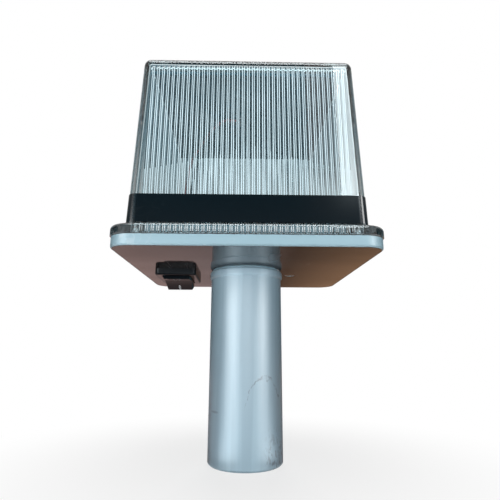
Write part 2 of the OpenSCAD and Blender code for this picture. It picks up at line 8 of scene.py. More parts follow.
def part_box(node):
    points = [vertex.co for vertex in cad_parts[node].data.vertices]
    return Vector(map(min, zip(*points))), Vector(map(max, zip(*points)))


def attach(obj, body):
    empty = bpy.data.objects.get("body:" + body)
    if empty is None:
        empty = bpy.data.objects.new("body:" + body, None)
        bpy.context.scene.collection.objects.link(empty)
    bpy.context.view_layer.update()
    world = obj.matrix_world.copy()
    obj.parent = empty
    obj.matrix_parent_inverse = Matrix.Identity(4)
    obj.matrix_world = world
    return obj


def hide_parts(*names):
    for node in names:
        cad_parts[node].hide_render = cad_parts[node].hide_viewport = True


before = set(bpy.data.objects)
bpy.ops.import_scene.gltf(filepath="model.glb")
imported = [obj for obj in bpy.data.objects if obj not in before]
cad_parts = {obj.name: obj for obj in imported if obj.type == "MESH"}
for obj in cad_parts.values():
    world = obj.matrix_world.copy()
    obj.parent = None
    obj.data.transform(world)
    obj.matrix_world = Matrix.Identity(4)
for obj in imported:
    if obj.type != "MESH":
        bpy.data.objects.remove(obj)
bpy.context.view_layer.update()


# Viewpoint. The lamp is seen from just below its tray, a little to the left of the middle, with a
# short lens close by. The place and the angles were solved from the edges of the tray and the cover.
mm = 0.001


def in_scene(name, data):
    made = bpy.data.objects.new(name, data)
    bpy.context.scene.collection.objects.link(made)
    return made


eye = Vector((-1.81, -159.76, 38.91)) * mm
yaw, pitch, roll = (math.radians(angle) for angle in (1.17, 13.47, 0.19))
ahead = Vector((math.sin(yaw) * math.cos(pitch), math.cos(yaw) * math.cos(pitch), math.sin(pitch)))
rightward = Matrix.Rotation(-roll, 3, ahead) @ Vector((math.cos(yaw), -math.sin(yaw), 0))
upward = rightward.cross(ahead)
facing = Matrix((rightward, upward, -ahead)).transposed().to_4x4()

viewpoint = in_scene("viewpoint", bpy.data.cameras.new("viewpoint"))
viewpoint.data.sensor_width = 36
viewpoint.data.lens = 29.886
viewpoint.data.clip_start = 5 * mm
viewpoint.matrix_world = Matrix.Translation(eye) @ facing
bpy.context.scene.camera = viewpoint
bpy.context.scene.view_settings.view_transform = "Standard"


# Studio. A pale floor fades into a white surround. Both are white to the eye, in gloss and through
# clear plastic, and the floor keeps the lamp's shadow. Plain sheets round the lamp, out of the eye's
# sight, show only in gloss or only through clear plastic. The strips light just the pieces linked.
def add(where, kind, inputs=None, **settings):
    """Puts a node in a tree, or in the tree of a socket. Inputs given as sockets are linked, others set."""
    tree = where.id_data
    made = tree.nodes.new(kind)
    for name, value in settings.items():
        setattr(made, name, value)
    for key, value in (inputs or {}).items():
        socket = made.inputs[key]
        if isinstance(value, bpy.types.NodeSocket):
            tree.links.new(value, socket)
        else:
            socket.default_value = (*value, 1) if socket.type == "RGBA" else value
    return made


def put(where, kind, inputs=None, **settings):
    """Puts a node in the same way and gives its first output."""
    return add(where, kind, inputs, **settings).outputs[0]


def calc(operation, *values):
    socket = next(value for value in values if isinstance(value, bpy.types.NodeSocket))
    return put(socket, "ShaderNodeMath", dict(enumerate(values)), operation=operation)


def chained(operation, first, *rest):
    """One operation carried on through any number of values."""
    for value in rest:
        first = calc(operation, first, value)
    return first


def times(*values):
    return chained("MULTIPLY", *values)


def minus(value, other):
    return calc("SUBTRACT", value, other)


def scaled(value, by, plus):
    return calc("MULTIPLY_ADD", value, by, plus)


def mixed(share, first, second):
    return put(share, "ShaderNodeMixShader", {0: share, 1: first, 2: second})


def seen_directly(tree):
    """1 on rays that look at the background: from the eye, off gloss and through clear plastic."""
    path = add(tree, "ShaderNodeLightPath").outputs
    kinds = (path[f"Is {kind} Ray"] for kind in ("Camera", "Glossy", "Transmission"))
    return chained("MAXIMUM", *kinds)


surround = bpy.data.worlds.new("white_surround")
surround.use_nodes = True
tree = surround.node_tree
tree.nodes.clear()
room_light = put(tree, "ShaderNodeBackground", {"Color": (0.95, 0.98, 1.0), "Strength": 0.05})
white_light = put(tree, "ShaderNodeBackground", {"Color": (1, 1, 1), "Strength": 1.0})
shown = mixed(seen_directly(tree), room_light, white_light)
add(tree, "ShaderNodeOutputWorld", {"Surface": shown})
bpy.context.scene.world = surround


def new_finish(name):
    finish = bpy.data.materials.new(name)
    finish.use_nodes = True
    finish.node_tree.nodes.clear()
    return finish, finish.node_tree


def end_finish(surface):
    add(surface, "ShaderNodeOutputMaterial", {"Surface": surface})


def coords(tree, stretch=(1, 1, 1), turn=(0, 0, 0)):
    """Places on the object itself, in metres, stretched and turned when a pattern needs it."""
    place = add(tree, "ShaderNodeTexCoord").outputs["Object"]
    inputs = {"Vector": place, "Rotation": turn, "Scale": stretch}
    return put(tree, "ShaderNodeMapping", inputs)


def split(vector):
    return add(vector, "ShaderNodeSeparateXYZ", {0: vector}).outputs


def ramp(value, low, high):
    """A soft step from 0 at low to 1 at high."""
    inputs = {"Value": value, "From Min": low, "From Max": high}
    return put(value, "ShaderNodeMapRange", inputs, interpolation_type="SMOOTHSTEP")


def noise(place, scale, detail=2.0, roughness=0.5):
    inputs = {"Vector": place, "Scale": scale, "Detail": detail, "Roughness": roughness}
    return add(place, "ShaderNodeTexNoise", inputs).outputs["Fac"]


def flat_sheets(name, finish, *sheets):
    mesh = bpy.data.meshes.new(name)
    corners = [corner for sheet in sheets for corner in sheet]
    mesh.from_pydata(corners, [], [tuple(range(4 * i, 4 * i + 4)) for i in range(len(sheets))])
    mesh.materials.append(finish)
    made = in_scene(name, mesh)
    return made


floor_half = 4
floor_finish, tree = new_finish("pale_floor")
paper = put(tree, "ShaderNodeBsdfDiffuse", {"Color": (0.8, 0.8, 0.79)})
glow = put(tree, "ShaderNodeEmission", {"Color": (1, 1, 1), "Strength": seen_directly(tree)})
away = add(tree, "ShaderNodeVectorMath", {0: coords(tree, (1, 1, 0))}, operation="LENGTH")
fade = scaled(ramp(away.outputs["Value"], 0.02, 0.12), 0.25, 0.75)
end_finish(mixed(fade, paper, glow))
floor_corners = ((-1, -1), (1, -1), (1, 1), (-1, 1))
flat_sheets("floor", floor_finish, [(x * floor_half, y * floor_half, 0) for x, y in floor_corners])


def tinted(share, first, second):
    """One colour where the share is 0, going over to another where it is 1."""
    inputs = {"Factor": share, 6: first, 7: second}
    return add(share, "ShaderNodeMix", inputs, data_type="RGBA").outputs[2]


def graded(along, *stops):
    """A colour that changes along a value from 0 to 1, through stops of place and colour."""
    scale = add(along, "ShaderNodeValToRGB", {"Fac": along})
    marks = scale.color_ramp.elements
    for mark, (place, colour) in zip((marks[0], marks[1]), (stops[0], stops[-1])):
        mark.position, mark.color = place, (*colour, 1)
    for place, colour in stops[1:-1]:
        marks.new(place).color = (*colour, 1)
    return scale.outputs[0]


def sheet_finish(name, colour_of):
    """A finish for a sheet that is only mirrored or seen through, streaked like planed wood."""
    finish, tree = new_finish(name)
    colour = colour_of(split(coords(tree)))
    grain = noise(coords(tree, (2, 14, 2)), 3.0, 4.0)
    inputs = {"Color": colour, "Value": calc("ADD", grain, 0.5)}
    streaked = put(tree, "ShaderNodeHueSaturation", inputs)
    end_finish(put(tree, "ShaderNodeEmission", {"Color": streaked, "Strength": 1.0}))
    return finish


def table_colour(place):
    """Warm wood below, and dark teal above it that turns pale in gloss towards the top."""
    along = scaled(place["X"], 3.0, 0.5)
    wood = graded(
        along, (0.08, (0.56, 0.38, 0.35)), (0.42, (0.40, 0.29, 0.28)),
        (0.66, (0.15, 0.085, 0.055)), (0.92, (0.46, 0.26, 0.15)),
    )
    passed = add(along, "ShaderNodeLightPath").outputs["Transmission Depth"]
    seen_through = calc("GREATER_THAN", passed, 0.5)
    teal = calc("MAXIMUM", ramp(place["Z"], 0.004, 0.02), seen_through)
    pale = times(ramp(place["Z"], 0.14, 0.28), minus(1.0, seen_through))
    return tinted(teal, wood, tinted(pale, (0.04, 0.08, 0.10), (0.62, 0.61, 0.60)))


alcove_half = 0.32


def screen_colour(place):
    """Dark grey that warms and cools with height, and pale on the rear of the two sides."""
    rise = times(place["Z"], 2.2)
    dark = graded(
        rise, (0.02, (0.15, 0.14, 0.14)), (0.30, (0.20, 0.185, 0.18)),
        (0.50, (0.40, 0.35, 0.33)), (0.66, (0.12, 0.17, 0.19)), (1.0, (0.05, 0.085, 0.11)),
    )
    at_side = ramp(calc("ABSOLUTE", place["X"]), alcove_half - 0.005, alcove_half - 0.001)
    rear_side = times(at_side, ramp(place["Y"], -0.15, -0.05))
    return tinted(rear_side, dark, (0.62, 0.64, 0.64))


def alcove(name, colour_of, near, far):
    """A floor and a back behind the lamp, and two sides beside it from near to far."""
    left, right, low, high, floor_near = -alcove_half, alcove_half, 0.001, 0.45, -0.012
    return flat_sheets(
        name, sheet_finish(name, colour_of),
        [(left, floor_near, low), (right, floor_near, low), (right, far, low), (left, far, low)],
        [(left, far, low), (right, far, low), (right, far, high), (left, far, high)],
        [(left, near, low), (left, far, low), (left, far, high), (left, near, high)],
        [(right, near, low), (right, far, low), (right, far, high), (right, near, high)],
    )


def upright_sheet(name, left, right, y, low, high, *stops):
    """One sheet across the front, graded in colour by its height."""
    finish = sheet_finish(name, lambda place: graded(place["Z"], *stops))
    return flat_sheets(name, finish, [(left, y, low), (right, y, low), (right, y, high), (left, y, high)])


def seen_only_by(sheet, shown_to):
    for kind in ("camera", "diffuse", "glossy", "transmission", "shadow"):
        setattr(sheet, "visible_" + kind, kind == shown_to)


seen_only_by(alcove("dim_table", table_colour, -0.14, 0.56), "glossy")
seen_only_by(alcove("dim_screens", screen_colour, -0.30, 0.34), "transmission")
seen_only_by(upright_sheet(
    "dim_canopy", -0.5, 0.12, -0.6, 0.3, 0.72, (0.3, (0.30, 0.60, 0.72)), (0.9, (0.38, 0.68, 0.80)),
), "glossy")
seen_only_by(upright_sheet(
    "bright_front", -1.2, 1.2, -0.7, 0.1, 1.2, (0.0, (0.97, 1.10, 1.16)), (1.0, (1.05, 1.19, 1.25)),
), "transmission")

strip_finish, tree = new_finish("bright_strips")
across = split(coords(tree))["X"]
strength = put(tree, "ShaderNodeMapRange", {
    "Value": across, "From Min": -0.1, "From Max": 0.1, "To Min": 6.6, "To Max": 3.6,
})
end_finish(put(tree, "ShaderNodeEmission", {"Color": (0.93, 0.98, 1), "Strength": strength}))


def wedge(middle, spread, near=0.02, far=0.8):
    """A flat strip on the floor that runs out from the lamp: its bearing from the front, and its ends."""
    left, right = (math.radians(middle + side * spread) for side in (-1, 1))
    ends = ((near, left), (near, right), (far, right), (far, left))
    return [(reach * math.sin(turn), -reach * math.cos(turn), 0.002) for reach, turn in ends]


lit_by_strips = bpy.data.collections.new("lit_by_strips")
lit_in_front = bpy.data.collections.new("lit_in_front")
strips = flat_sheets("bright_strips", strip_finish, wedge(-41, 22), wedge(52, 20))
seen_only_by(strips, "glossy")
strips.light_linking.receiver_collection = lit_by_strips


def softbox(name, place, aim, width, height, watts):
    lamp = bpy.data.lights.new(name, "AREA")
    lamp.shape = "RECTANGLE"
    lamp.size, lamp.size_y = width, height
    lamp.energy = watts
    box = in_scene(name, lamp)
    box.location = place
    box.rotation_euler = (Vector(aim) - Vector(place)).to_track_quat("-Z", "Y").to_euler()
    box.visible_transmission = False
    return box


for name, place, width, height, watts, receivers in (
    ("left_strip", (-0.50, -0.56, 0.16), 0.42, 0.32, 4.3, lit_by_strips),
    ("right_strip", (0.59, -0.46, 0.23), 0.28, 0.46, 4.6, lit_by_strips),
    ("front_strip", (0.08, -0.75, 0.16), 0.28, 0.32, 1.6, lit_in_front),
):
    strip = softbox(name, place, (0, 0, place[2]), width, height, watts)
    strip.visible_diffuse = False
    strip.light_linking.receiver_collection = receivers
softbox("front_fill", (-0.03, -0.78, 0.06), (0, 0, 0.06), 0.32, 0.11, 4.6).visible_glossy = False
softbox("back_fill", (0.0, 0.9, 0.3), (0, 0, 0.06), 0.5, 0.5, 7.0).visible_glossy = False
softbox("overhead_softbox", (0.0, -0.25, 0.80), (0, 0, 0.1), 0.7, 0.7, 2.5)
for name, place, aim, width, height, watts in (
    ("tall_window", (0.383, -0.956, 0.753), (0, 0, 0.753), 0.22, 0.52, 4.0),
    ("skylight", (0, -0.34, 0.85), (0, 0, 0.13), 0.8, 0.45, 6.0),
):
    pane = softbox(name, place, aim, width, height, watts)
    pane.data.color = (0.86, 0.97, 1.0)
    pane.visible_diffuse = False


# Mount pipe. A sawn-off length of grey three-quarter-inch plastic pipe with a slightly swollen
# upper end, pushed over the spigot under the tray. Extruded, satin, stained by water and hands.
def new_effect(name, inputs, outputs):
    """An empty shader group with named sockets. Gives the group and what it is given."""
    group = bpy.data.node_groups.new(name, "ShaderNodeTree")
    for label, value in inputs.items():
        kind = "NodeSocketFloat" if isinstance(value, float) else "NodeSocketColor"
        socket = group.interface.new_socket(label, in_out="INPUT", socket_type=kind)
        socket.default_value = value if isinstance(value, float) else (*value, 1)
    for label in outputs:
        kind = "NodeSocketColor" if label == "Color" else "NodeSocketFloat"
        group.interface.new_socket(label, in_out="OUTPUT", socket_type=kind)
    return group, add(group, "NodeGroupInput").outputs


def effect(tree, group, **inputs):
    return add(tree, "ShaderNodeGroup", inputs, node_tree=group).outputs


plastic_tone, given = new_effect("plastic_tone", {
    "Color": (0.5, 0.5, 0.5), "Blotch": 40.0, "Depth": 0.1, "Grain": 4000.0,
}, ("Color", "Grain"))
tree = plastic_tone
here = coords(tree)
blotch = minus(noise(here, given["Blotch"], 4.0, 0.6), 0.5)
level = scaled(blotch, given["Depth"], 1.0)
toned = put(tree, "ShaderNodeHueSaturation", {"Color": given["Color"], "Value": level})
add(tree, "NodeGroupOutput", {"Color": toned, "Grain": noise(here, given["Grain"], 1.0)})

hair_scratches, given = new_effect("hair_scratches", {"Scale": 60.0, "Amount": 0.5}, ("Mask",))
tree = hair_scratches
lines = []
for turn in (0.35, 1.9, 2.6):
    drawn_out = coords(tree, (1, 0.03, 1), (turn, turn * 0.7, turn))
    from_line = minus(noise(drawn_out, given["Scale"]), 0.5)
    lines.append(ramp(calc("ABSOLUTE", from_line), 0.008, 0.0))
patchy = ramp(noise(coords(tree), 45.0), 0.5, 0.65)
scratched = times(chained("MAXIMUM", *lines), patchy, given["Amount"])
add(tree, "NodeGroupOutput", {"Mask": scratched})

water_mark, given = new_effect("water_mark", {
    "Middle": 6 * mm, "Top": 30 * mm, "Spread": 6 * mm, "Drop": 8 * mm, "Line": 0.5 * mm,
}, ("Mask",))
tree = water_mark
place = split(coords(tree))
share = calc("DIVIDE", minus(place["X"], given["Middle"]), given["Spread"])
fall = times(calc("POWER", calc("ABSOLUTE", share), 2.5), given["Drop"])
arch = minus(given["Top"], fall)
wander = minus(noise(coords(tree), 420.0, 4.0), 0.5)
off_arch = scaled(wander, 5 * mm, minus(place["Z"], arch))
edge = minus(1.0, ramp(calc("ABSOLUTE", off_arch), 0.0, given["Line"]))
front = ramp(place["Y"], 0.0, -4 * mm)
broken = ramp(noise(coords(tree), 900.0, 3.0), 0.35, 0.6)
dry, wet = (minus(given["Top"], below) for below in (12 * mm, 6 * mm))
kept = ramp(place["Z"], dry, wet)
add(tree, "NodeGroupOutput", {"Mask": times(edge, front, broken, kept)})


def plastic(tree, colour, blotch, depth, grain):
    """Moulded plastic's colour with soft blotches, and its fine grain."""
    return effect(tree, plastic_tone, Color=colour, Blotch=blotch, Depth=depth, Grain=grain)


def scratches_on(tree, scale, amount):
    return effect(tree, hair_scratches, Scale=scale, Amount=amount)["Mask"]


def clothe(colour, **inputs):
    """Ends a finish with one plain surface."""
    named = {key.replace("_", " "): value for key, value in inputs.items()}
    end_finish(put(colour, "ShaderNodeBsdfPrincipled", {"Base Color": colour, **named}))


def bump(height, depth, strength):
    return put(height, "ShaderNodeBump", {"Height": height, "Distance": depth, "Strength": strength})


def eased(piece, ease=0.0, steps=2, angle=32):
    """Smooths a piece between its sharp edges, and rounds those off where a radius is given."""
    piece.data.shade_smooth()
    piece.data.set_sharp_from_angle(angle=math.radians(angle))
    if ease:
        rounded = piece.modifiers.new("eased_edges", "BEVEL")
        rounded.width = ease
        rounded.segments = steps
        rounded.limit_method = "ANGLE"
        rounded.angle_limit = math.radians(angle)
        rounded.harden_normals = True
    piece.modifiers.new("even_flats", "WEIGHTED_NORMAL").keep_sharp = True
    return piece


def fit(piece, slot, node, *finishes, body="lamp"):
    """Clothes a piece and puts it on its body in place of a CAD node."""
    for finish in finishes:
        piece.data.materials.append(finish)
    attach(piece, body)
    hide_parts(node)
    return piece


def remade(node, slot, *finishes, ease=0.0, steps=2, body="lamp"):
    """A finished copy in place of a CAD node: triangles joined, flats made whole, edges eased."""
    shape = bmesh.new()
    shape.from_mesh(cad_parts[node].data)
    bmesh.ops.remove_doubles(shape, verts=shape.verts, dist=0.0005 * mm)
    bmesh.ops.dissolve_limit(shape, angle_limit=math.radians(0.4), verts=shape.verts, edges=shape.edges)
    mesh = bpy.data.meshes.new(node + "_finished")
    shape.to_mesh(mesh)
    shape.free()
    mesh.materials.clear()
    piece = eased(in_scene(node + "_finished", mesh), ease, steps)
    return fit(piece, slot, node, *finishes, body=body)


pipe_finish, tree = new_finish("satin_grey_pipe")
tone = plastic(tree, (0.27, 0.405, 0.49), 70.0, 0.12, 5000.0)
drawn = noise(coords(tree, (1, 1, 0.01)), 900.0, 3.0)
stain = effect(
    tree, water_mark, Middle=6 * mm, Top=29.5 * mm, Spread=5.6 * mm, Drop=7 * mm, Line=0.75 * mm,
)["Mask"]
place = split(coords(tree))
specks = ramp(noise(coords(tree, (1, 1, 0.5)), 1300.0, 3.0), 0.50, 0.62)
low_right = times(ramp(place["X"], 5 * mm, 9 * mm), ramp(place["Z"], 16 * mm, 4 * mm))
smear_place = (-10.6 * mm, 0, 54 * mm)
smear_off = add(tree, "ShaderNodeVectorMath", {
    0: coords(tree, (1, 0, 3)), 1: smear_place,
}, operation="DISTANCE").outputs["Value"]
in_front = ramp(place["Y"], 0.0, -2 * mm)
smear = times(ramp(smear_off, 1.8 * mm, 0.6 * mm), in_front, 0.7)
marks = chained("MAXIMUM", stain, times(low_right, specks), smear)
streaks = ramp(noise(coords(tree, (1, 1, 0.04)), 260.0), 0.42, 0.62)
streaky = tinted(times(streaks, 0.35), tone["Color"], (0.15, 0.24, 0.31))
satin = scaled(drawn, 0.1, 0.38)
clothe(
    tinted(times(marks, 0.8), streaky, (0.10, 0.13, 0.16)),
    Roughness=scaled(scratches_on(tree, 120.0, 0.5), 0.2, satin), Specular_IOR_Level=1.0,
    Normal=bump(scaled(tone["Grain"], 0.3, drawn), 0.01 * mm, 0.5),
)
pipe = remade("mount_pipe", "grey_pipe", pipe_finish, ease=0.3 * mm, steps=3)
lit_by_strips.objects.link(pipe)
lit_in_front.objects.link(pipe)


# Base tray. One shallow injection moulding in pale grey plastic: a satin rim, a glossy underside
# with a short collar for the pipe, and a dull inside with clips for the cell. Its lower edge is nicked.
# The underside is painted dark warm brown and the inside a darker grey. Both are painted shade, and
# the underside's brown is also a painted reflection of a warm table.
pipe_gap = 0.4 * mm
underside_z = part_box("mount_pipe")[1].z + pipe_gap
rim_inside = 38.5 * mm

tray_finish, tree = new_finish("satin_grey_tray")
tone = plastic(tree, (0.335, 0.515, 0.60), 55.0, 0.12, 3500.0)
height = split(coords(tree))["Z"]
at_edge = ramp(height, underside_z + 0.55 * mm, underside_z + 0.1 * mm)
chips = ramp(noise(coords(tree, (1, 1, 2)), 260.0, 3.0), 0.63, 0.68)
rubbed = times(scratches_on(tree, 90.0, 0.6), 0.3)
worn = calc("MAXIMUM", times(at_edge, chips), rubbed)
clothe(
    tinted(worn, tone["Color"], (0.8, 0.85, 0.87)),
    Roughness=scaled(tone["Grain"], 0.12, 0.36),
    Normal=bump(tone["Grain"], 0.012 * mm, 0.35),
)

# Painted shade and painted reflection: the underside is the same pale grey moulding as the rim. Its colour
# is painted dark warm brown for the shade under the tray and for the warm table it mirrors.
underside_painted_shade_finish, tree = new_finish("glossy_underside")
tone = plastic(tree, (0.115, 0.095, 0.088), 30.0, 0.5, 3500.0)
scratches = scratches_on(tree, 50.0, 0.7)
clothe(
    tinted(times(scratches, 0.35), tone["Color"], (0.5, 0.5, 0.5)),
    Roughness=scaled(scratches, 0.15, 0.06),
    Normal=bump(noise(coords(tree), 90.0), 0.05 * mm, 0.12),
)


def moulded(name, colour, blotch, depth, grain, spread, roughness, pits=0.0):
    """A plain finish, a little uneven in tone and gloss, and finely pitted where a depth is given."""
    finish, tree = new_finish(name)
    tone = plastic(tree, colour, blotch, depth, grain)
    surface = {"Roughness": scaled(tone["Grain"], spread, roughness)}
    if pits:
        surface["Normal"] = bump(tone["Grain"], pits, 0.4)
    clothe(tone["Color"], **surface)
    return finish


def finish_faces(piece, index, chosen):
    """Gives the faces that pass a test another of the piece's finishes."""
    for face in piece.data.polygons:
        if chosen(face):
            face.material_index = index


# Painted shade: the inside of the tray is the same pale grey moulding as the rim. It is painted a darker
# grey for the shade inside the cover.
inside_painted_shade_finish = moulded("dull_tray_inside", (0.20, 0.235, 0.25), 40.0, 0.3, 2500.0, 0.2, 0.55)
tray = remade("base_tray", "grey_moulding", tray_finish, underside_painted_shade_finish, inside_painted_shade_finish, ease=0.1 * mm)
lit_by_strips.objects.link(tray)
finish_faces(tray, 1, lambda face: face.normal.z < -0.95 and abs(face.center.z - underside_z) < 0.05 * mm)
finish_faces(tray, 2, lambda face: (
    face.center.z > underside_z + 1 * mm and max(abs(face.center.x), abs(face.center.y)) < rim_inside
))


# Rocker switch. A stock snap-in switch in glossy black plastic: an eased bezel on a box-shaped
# body, and a hollow rocker on two pins with the usual bar and ring in white paint. Inside it a
# coil spring and a brass plunger tip a bent blade against two flat terminals.
switch_finish, tree = new_finish("glossy_black_switch")
tone = plastic(tree, (0.006, 0.009, 0.012), 120.0, 0.5, 6000.0)
clothe(
    tone["Color"], Specular_IOR_Level=0.25,
    Roughness=scaled(scratches_on(tree, 200.0, 0.6), 0.25, 0.14),
    Normal=bump(tone["Grain"], 0.004 * mm, 0.3),
)
remade("switch_housing", "switch_black", switch_finish, ease=0.12 * mm)
remade("switch_rocker", "switch_black", switch_finish, ease=0.45 * mm, steps=3, body="rocker")

rocker_pivot = Vector((-26.6 * mm, 4 * mm, underside_z + 1 * mm))
rocker_tip, rocker_slope = math.radians(-12), math.radians(14)
rocker_rest = Matrix.Translation(rocker_pivot) @ Matrix.Rotation(rocker_tip, 4, "X")
rocker_drop = 4.4 * mm
mark_out = 4.6 * mm
paint_t = 0.015 * mm
paint_finish, tree = new_finish("white_switch_paint")
worn = ramp(noise(coords(tree), 2500.0, 3.0), 0.35, 0.5)
clothe(tinted(worn, (0.35, 0.36, 0.38), (0.82, 0.84, 0.86)), Roughness=0.5)


def painted_mark(name, half, outline, hole=()):
    """A thin mark on one half of the rocker: half is 1 on the rear face and -1 on the front face."""
    ridge = rocker_rest @ Matrix.Translation((0, 0, -rocker_drop))
    sloped = ridge @ Matrix.Rotation(-half * rocker_slope, 4, "X")
    face = sloped @ Matrix.Translation((0, half * mark_out, -paint_t))
    shape = bmesh.new()
    outer = [shape.verts.new(face @ Vector((x, y, 0))) for x, y in outline]
    if hole:
        inner = [shape.verts.new(face @ Vector((x, y, 0))) for x, y in hole]
        for i in range(len(outer)):
            j = (i + 1) % len(outer)
            shape.faces.new((outer[i], inner[i], inner[j], outer[j]))
    else:
        shape.faces.new(outer[::-1])
    mesh = bpy.data.meshes.new(name)
    shape.to_mesh(mesh)
    shape.free()
    mesh.materials.append(paint_finish)
    mark = in_scene(name, mesh)
    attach(mark, "rocker")


def circle_of(radius, count=40):
    turn = 2 * math.pi / count
    return [(radius * math.cos(turn * i), radius * math.sin(turn * i)) for i in range(count)]


bar_w, bar_len = 0.35 * mm, 1.6 * mm
painted_mark("on_bar", 1, [(-bar_w, -bar_len), (bar_w, -bar_len), (bar_w, bar_len), (-bar_w, bar_len)])
painted_mark("off_ring", -1, circle_of(1.6 * mm), circle_of(1.0 * mm))


def metal_finish(name, colour, roughness):
    """Bright metal, a little uneven in tone and gloss, with fine scratches."""
    finish, tree = new_finish(name)
    tone = plastic(tree, colour, 300.0, 0.3, 5000.0)
    uneven = calc("ADD", tone["Grain"], scratches_on(tree, 300.0, 1.0))
    clothe(tone["Color"], Metallic=1.0, Roughness=scaled(uneven, 0.15, roughness))
    return finish


brass = metal_finish("stamped_brass", (0.72, 0.53, 0.24), 0.2)
bright_steel = metal_finish("bright_steel", (0.66, 0.66, 0.64), 0.18)
remade("switch_plunger", "contact_brass", brass, ease=0.05 * mm, body="rocker")
remade("switch_blade", "contact_brass", brass, ease=0.06 * mm, body="blade")
remade("switch_terminals", "contact_brass", brass, ease=0.12 * mm)


def new_maker(name, inputs):
    """An empty geometry tree with named inputs and a finish. Gives the tree and what it is given."""
    maker = bpy.data.node_groups.new(name, "GeometryNodeTree")
    kinds = {float: "NodeSocketFloat", int: "NodeSocketInt", str: "NodeSocketGeometry"}
    for label, value in inputs.items():
        socket = maker.interface.new_socket(label, in_out="INPUT", socket_type=kinds[type(value)])
        if not isinstance(value, str):
            socket.default_value = value
    maker.interface.new_socket("Finish", in_out="INPUT", socket_type="NodeSocketMaterial")
    maker.interface.new_socket("Piece", in_out="OUTPUT", socket_type="NodeSocketGeometry")
    return maker, add(maker, "NodeGroupInput").outputs


def finish_maker(geometry, given):
    real = put(geometry, "GeometryNodeRealizeInstances", {"Geometry": geometry})
    clothed = put(real, "GeometryNodeSetMaterial", {"Geometry": real, "Material": given["Finish"]})
    add(clothed, "NodeGroupOutput", {0: clothed})


def seed_of(points=(), edges=()):
    seed = bpy.data.meshes.new("seed")
    seed.from_pydata(points, edges, [])
    return seed


def grow(name, seed, maker, **values):
    """Runs a geometry tree on a seed mesh and keeps the outcome as a plain mesh piece."""
    piece = in_scene(name, seed)
    run = piece.modifiers.new("grow", "NODES")
    run.node_group = maker
    for item in maker.interface.items_tree:
        label = item.name.replace(" ", "_")
        if item.in_out == "INPUT" and label in values:
            run[item.identifier] = values[label]
    made = bpy.data.meshes.new_from_object(piece.evaluated_get(bpy.context.evaluated_depsgraph_get()))
    piece.modifiers.remove(run)
    piece.data = made
    bpy.data.meshes.remove(seed)
    made.name = name
    if made.materials[0] is None:
        made.materials.pop(index=0)
    return piece


def combined(tree, x=0.0, y=0.0, z=0.0):
    return put(tree, "ShaderNodeCombineXYZ", {"X": x, "Y": y, "Z": z})


def circle(tree, sides, radius):
    inputs = {"Resolution": sides, "Radius": radius}
    return put(tree, "GeometryNodeCurvePrimitiveCircle", inputs, mode="RADIUS")


def swept(course, sides, radius):
    """A round wire or sheath along a course, closed at both ends."""
    section = circle(course.id_data, sides, radius)
    inputs = {"Curve": course, "Profile Curve": section, "Fill Caps": True}
    return put(course, "GeometryNodeSetShadeSmooth", {0: put(course, "GeometryNodeCurveToMesh", inputs)})


tree, given = new_maker("coil_spring", {
    "Turns": 6.0, "Coil Radius": 0.95 * mm, "Wire Radius": 0.16 * mm, "Length": 3.49 * mm,
})
helix = put(tree, "GeometryNodeCurveSpiral", {
    "Resolution": 24, "Rotations": given["Turns"], "Start Radius": given["Coil Radius"],
    "End Radius": given["Coil Radius"], "Height": given["Length"],
})
finish_maker(swept(helix, 10, given["Wire Radius"]), given)
spring_foot = -0.79 * mm
spring = grow("plunger_spring", seed_of(), tree, Finish=bright_steel)
spring.data.transform(rocker_rest @ Matrix.Translation((0, 0, spring_foot)))
fit(spring, "spring_steel", "switch_spring", body="rocker")


# Board fixings. Two plated countersunk screws come up through the tray, each with a nylon spacer
# under the control board and a hexagon nut on top of it.
def joined(kind, *parts, inputs=None, **settings):
    """Brings parts together at the one socket of a node that takes several."""
    together = add(parts[0], kind, inputs, **settings)
    entry = next(socket for socket in together.inputs if socket.is_multi_input)
    for part in parts:
        together.id_data.links.new(part, entry)
    return together.outputs[0]


def fused(*parts):
    return joined("GeometryNodeMeshBoolean", *parts, operation="UNION", solver="MANIFOLD")


def cut(block, *cutters):
    settings = {"operation": "DIFFERENCE", "solver": "MANIFOLD"}
    return joined("GeometryNodeMeshBoolean", *cutters, inputs={"Mesh 1": block}, **settings)


def moved(geometry, **place):
    return put(geometry, "GeometryNodeTransform", {"Geometry": geometry, **place})


def box(tree, *size):
    return put(tree, "GeometryNodeMeshCube", {"Size": combined(tree, *size)})


def prism(outline, rise):
    """A closed upright solid on a flat outline, which may hold a hole."""
    foot = put(outline, "GeometryNodeFillCurve", {"Curve": outline}, mode="NGONS")
    sides = add(foot, "GeometryNodeExtrudeMesh", {
        "Mesh": foot, "Offset": (0, 0, 1), "Offset Scale": rise, "Individual": False,
    }, mode="FACES").outputs["Mesh"]
    under = put(foot, "GeometryNodeFlipFaces", {"Mesh": foot})
    both = joined("GeometryNodeJoinGeometry", under, sides)
    return put(both, "GeometryNodeMergeByDistance", {"Geometry": both, "Distance": 0.001 * mm})


def set_out(piece, points, **placing):
    inputs = {"Points": points, "Instance": piece, **placing}
    return put(piece, "GeometryNodeInstanceOnPoints", inputs)


screw_places = ((17.8 * mm, 7.7 * mm), (-5 * mm, 29 * mm))


def at_screws(node):
    """A seed with a point for each screw, at the height where a CAD node's pieces start."""
    return seed_of([(x, y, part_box(node)[0].z) for x, y in screw_places])


